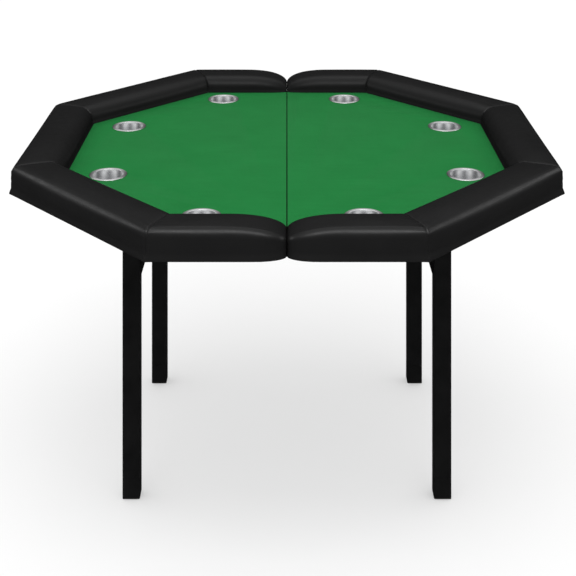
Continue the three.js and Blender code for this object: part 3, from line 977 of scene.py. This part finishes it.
for side in SIDES:
    dress(f"{side}_board", PLY, 0.4)
    dress(f"{side}_rail_rim", PLY)
    dress(f"{side}_fold_batten", PINE, 1.2)
    for end in ENDS:
        leg = f"{side}_{end}"
        dress(f"{leg}_leg_tube", COATED, 0.8)
        dress(f"{leg}_leg_gusset", COATED, 0.5)
        dress(f"{leg}_foot_sleeve", PLASTIC, 0.8)
        dress(f"{leg}_foot_glide", PLASTIC, 0.7)
        dress(f"{leg}_leg_bracket", COATED, 0.5)
        dress(f"{leg}_pivot_pin", ZINC, 0.5)
        dress(f"{leg}_lock_knob", PLASTIC, 0.8)
for place in HINGE_PLACES:
    for side in SIDES:
        dress(f"{place}_hinge_leaf_{side}", ZINC, 0.3)
    dress(f"{place}_hinge_pin", ZINC, 0.4)

# ---- screws -----------------------------------------------------------------------


def screw(centre, radius, height):
    """A pan head with a cross recess, pointing down from a place on a plate."""
    rings = [(radius, 0), (radius, height * 0.35)]
    rings += [(radius * 0.86, height * 0.78), (radius * 0.6, height)]
    segments = 16
    vertices, faces = [], []
    for r, h in rings:
        for i in range(segments):
            a = 2 * math.pi * i / segments
            vertices.append((r * math.cos(a), r * math.sin(a), h))
    for k in range(len(rings) - 1):
        for i in range(segments):
            j = (i + 1) % segments
            a, b = k * segments, (k + 1) * segments
            faces.append((a + i, a + j, b + j, b + i))
    faces.append(tuple(reversed(range(segments))))
    slot = radius * 0.17
    arm = radius * 0.5
    base = len(vertices)
    cross = [(arm, -slot), (arm, slot), (slot, slot), (slot, arm), (-slot, arm)]
    cross += [(-slot, slot), (-arm, slot), (-arm, -slot), (-slot, -slot), (-slot, -arm)]
    cross += [(slot, -arm), (slot, -slot)]
    vertices += [(x, y, height) for x, y in cross]
    vertices += [(x * 0.55, y * 0.55, height * 0.45) for x, y in cross]
    n = len(cross)
    for i in range(n):
        j = (i + 1) % n
        faces.append((base + i, base + j, base + n + j, base + n + i))
    faces.append(tuple(range(base + n, base + 2 * n)))
    outer = [(len(rings) - 1) * segments + i for i in range(segments)]
    flat = [[Vector(vertices[i]) for i in outer], [Vector(vertices[base + i]) for i in range(n)]]
    order = outer + [base + i for i in range(n)]
    for tri in geometry.tessellate_polygon(flat):
        a, b, c = (order[i] for i in tri)
        va, vb, vc = (Vector(vertices[i]) for i in (a, b, c))
        faces.append((a, b, c) if (vb - va).cross(vc - va).z > 0 else (a, c, b))
    return np.array(vertices) * [1, -1, -1] + centre, faces


def leg_frame(side, end):
    """Pivot place of a leg, the unit along its pivot line towards the fold, and across."""
    low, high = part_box(f"{side}_{end}_foot_glide")
    pivot = np.array([(low.x + high.x) / 2, (low.y + high.y) / 2, LEG_PIVOT * MM]) / MM
    cosine, sine = math.cos(LEG_SPLAY), math.sin(LEG_SPLAY)
    along = -SIDES[side] * np.array([cosine, sine, 0])
    across = ENDS[end] * np.array([-sine, cosine, 0])
    return pivot, along, across


PLATE_THICKNESS = 3.0
HINGE_SCREWS = ((13, -27), (24, -11), (13, 0), (24, 11), (13, 27))  # from the fold, along it


for side in SIDES:
    for end in ENDS:
        pivot, along, across = leg_frame(side, end)
        plate_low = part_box(f"{side}_{end}_leg_bracket")[1].z / MM - PLATE_THICKNESS
        parts = []
        for u in (-14, 17, 48):
            for v, radius in ((-25, 4.0), (29.4, 2.7)):
                spot = pivot + along * u + across * v
                spot[2] = plate_low + 0.02
                parts.append(screw(spot, radius, radius * 0.5))
        points, faces = merged(parts)
        piece(f"{side}_{end}_bracket_screws", points, faces, ZINC, f"{side}_half")

for side, way in SIDES.items():
    parts = []
    for place in HINGE_PLACES:
        low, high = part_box(f"{place}_hinge_leaf_{side}")
        middle = (low.y + high.y) / 2 / MM
        for dx, dy in HINGE_SCREWS:
            spot = np.array([way * dx, middle + dy, FOLD_AXIS + 0.28])
            parts.append(screw(spot, 3.4, 0.22))
    points, faces = merged(parts)
    piece(f"{side}_hinge_screws", points, faces, ZINC, f"{side}_half")

# ---- floor, light and camera ------------------------------------------------------


FLOOR_REACH = 14.0


def floor():
    mesh = bpy.data.meshes.new("floor")
    corners = ((-1, -1), (1, -1), (1, 1), (-1, 1))
    places = [(x * FLOOR_REACH, y * FLOOR_REACH, 0) for x, y in corners]
    mesh.from_pydata(places, [], [(0, 1, 2, 3)])
    material, tree, shader = new_material(
        "pale_floor",
        Roughness=0.9,
        Specular_IOR_Level=0.0,
        Emission_Color=(1, 1, 1, 1),
        Emission_Strength=0.42,
    )
    tone = noise(tree, coordinates(tree), 3.0, 2.0, 0.5)
    colour = mix_colour(tree, tone, (0.43, 0.43, 0.43, 1), (0.44, 0.44, 0.44, 1))
    wire(tree, shader, Base_Color=colour)
    # From below the floor is clear, so that the underside can be seen.
    behind = add(tree, "ShaderNodeNewGeometry").outputs["Backfacing"]
    clear = add(tree, "ShaderNodeBsdfTransparent")
    shown = add(
        tree,
        "ShaderNodeMixShader",
        {0: behind, 1: shader.outputs["BSDF"], 2: clear.outputs["BSDF"]},
    )
    tree.links.new(shown.outputs[0], tree.nodes["Material Output"].inputs["Surface"])
    mesh.materials.append(material)
    made = bpy.data.objects.new("floor", mesh)
    bpy.context.scene.collection.objects.link(made)
    made.visible_glossy = False
    made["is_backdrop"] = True


WHITE = (1, 1, 1, 1)
ROOM = 1.35  # strength of the world for the camera and matt surfaces
DIM_LOW, DIM_HIGH = 0.028, 0.45  # what shiny surfaces see near the horizon and overhead


def studio_world():
    """White to the camera, even soft light on matt surfaces, dim in reflections."""
    world = bpy.data.worlds.new("studio")
    bpy.context.scene.world = world
    world.use_nodes = True
    world.cycles.sampling_method = "NONE"
    tree = world.node_tree
    tree.nodes.clear()
    path = add(tree, "ShaderNodeLightPath")
    towards = add(tree, "ShaderNodeTexCoord").outputs["Generated"]
    overhead = spread(tree, xyz(tree, towards)[2], DIM_LOW, DIM_HIGH, 0.55, 0.9)
    white = add(tree, "ShaderNodeBackground", {"Color": WHITE, "Strength": ROOM})
    dim = add(tree, "ShaderNodeBackground", {"Color": WHITE, "Strength": overhead})
    either = add(
        tree,
        "ShaderNodeMixShader",
        {0: path.outputs["Is Glossy Ray"], 1: white.outputs[0], 2: dim.outputs[0]},
    )
    out = add(tree, "ShaderNodeOutputWorld")
    tree.links.new(either.outputs[0], out.inputs["Surface"])


def softbox(name, place, target, size, power):
    light = bpy.data.lights.new(name, "AREA")
    light.shape = "RECTANGLE"
    light.size, light.size_y = size
    light.energy = power
    made = bpy.data.objects.new(name, light)
    made.location = place
    made.rotation_euler = (Vector(target) - Vector(place)).to_track_quat("-Z", "Y").to_euler()
    bpy.context.scene.collection.objects.link(made)


CAMERA_PLACE = (0, -2.8875, 1.6015)
FOCAL_LENGTH, SENSOR_WIDTH = 75.2, 36.0
SHIFT_X, SHIFT_Y = 0.0019, -0.9075
NEAR_BY = 0.02  # metres from its place within which the lens keeps its full shift


def camera():
    """Level camera with a lowered lens, which keeps the legs upright in the picture."""
    lens = bpy.data.cameras.new("camera")
    lens.sensor_width, lens.lens = SENSOR_WIDTH, FOCAL_LENGTH
    lens.shift_x = SHIFT_X
    made = bpy.data.objects.new("camera", lens)
    made.rotation_euler = (math.pi / 2, 0, 0)
    mark = bpy.data.objects.new("camera_place", None)
    for thing in (made, mark):
        thing.location = CAMERA_PLACE
        bpy.context.scene.collection.objects.link(thing)
    bpy.context.scene.camera = made
    # The lens is lowered only at this place; moved anywhere else it looks straight ahead.
    curve = lens.driver_add("shift_y")
    curve.driver.type = "SUM"
    moved = curve.driver.variables.new()
    moved.type = "LOC_DIFF"
    moved.targets[0].id, moved.targets[1].id = made, mark
    for modifier in list(curve.modifiers):
        curve.modifiers.remove(modifier)
    for distance, shift in ((0, SHIFT_Y), (NEAR_BY, SHIFT_Y), (2 * NEAR_BY, 0)):
        curve.keyframe_points.insert(distance, shift).interpolation = "LINEAR"
    curve.extrapolation = "CONSTANT"


floor()
studio_world()
softbox("front_box", (0, -1.45, 2.85), (0, -0.5, 0.7), (2.2, 0.75), 24)
softbox("left_box", (-2.6, 0.3, 1.95), (-0.4, 0, 0.7), (1.6, 0.5), 7)
softbox("right_box", (2.6, 0.3, 1.95), (0.4, 0, 0.7), (1.6, 0.5), 7)
softbox("back_box", (0, 1.3, 2.85), (0, 0.4, 0.7), (2.0, 0.5), 2)
camera()
bpy.context.scene.view_settings.view_transform = "Standard"
bpy.context.scene.view_settings.look = "None"

# ---- close --------------------------------------------------------------------------

low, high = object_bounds()
